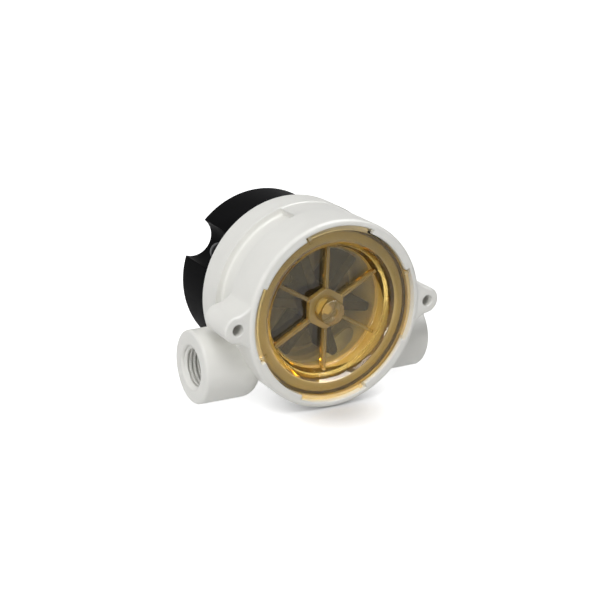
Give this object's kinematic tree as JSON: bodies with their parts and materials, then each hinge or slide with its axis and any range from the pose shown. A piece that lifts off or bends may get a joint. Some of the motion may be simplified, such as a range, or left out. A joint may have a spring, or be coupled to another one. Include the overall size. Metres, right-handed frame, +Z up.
{
  "type": "paddle wheel flow sensor",
  "caption": "Flow sensor with a white body, threaded pipe ports and mounting ears, an amber twist-off lens over a paddle wheel with magnets, and a black rear housing for the electronics.",
  "frame": {"origin": "on the wheel's axis, level with the front face of the two mounting ears", "axes": "+X towards the right port as seen from the lens, -Y out of the lens, +Z up"},
  "size_m": [0.0792, 0.0532, 0.06],
  "materials": {
    "white_plastic": "satin moulded",
    "amber_plastic": "clear polished",
    "black_plastic": "satin moulded",
    "wheel_plastic": "matt moulded",
    "black_rubber": "matt",
    "white_ceramic": "ground",
    "bearing_plastic": "smooth",
    "magnet_metal": "nickel plated",
    "brass": "turned",
    "stainless_steel": "bright",
    "black_steel": "black oxide",
    "board_green": "solder mask",
    "chip_black": "moulded",
    "tinned_metal": "tinned",
    "can_aluminium": "brushed",
    "connector_ivory": "moulded"
  },
  "bodies": {
    "body": {"flow_body": "white_plastic", "rotor_shaft": "white_ceramic", "rear_thrust_washer": "bearing_plastic", "rear_housing": "black_plastic", "housing_gasket": "black_rubber", "housing_screws": "black_steel", "housing_washers": "black_steel", "threaded_inserts": "brass", "cable_grommet": "black_rubber", "circuit_board": "board_green", "board_screws": "stainless_steel", "hall_sensor": "chip_black", "hall_sensor_legs": "tinned_metal", "signal_chip": "chip_black", "chip_legs": "tinned_metal", "voltage_regulator": "chip_black", "capacitors": "can_aluminium", "resistors": "chip_black", "lead_connector": "connector_ivory", "connector_pins": "tinned_metal"},
    "lens": {"lens": "amber_plastic", "lens_o_ring": "black_rubber", "front_thrust_washer": "bearing_plastic"},
    "wheel": {"paddle_wheel": "wheel_plastic", "rotor_bush": "bearing_plastic", "rotor_magnets": "magnet_metal"}
  },
  "joints": [
    {"name": "wheel_spin", "type": "hinge", "parent": "body", "child": "wheel", "pos_m": [0, 0.018, 0], "axis": [0, -1, 0], "continuous": true},
    {"name": "lens_twist", "type": "hinge", "parent": "body", "child": "lens", "pos_m": [0, 0, 0], "axis": [0, 1, 0], "range_deg": [0, 38]}
  ]
}
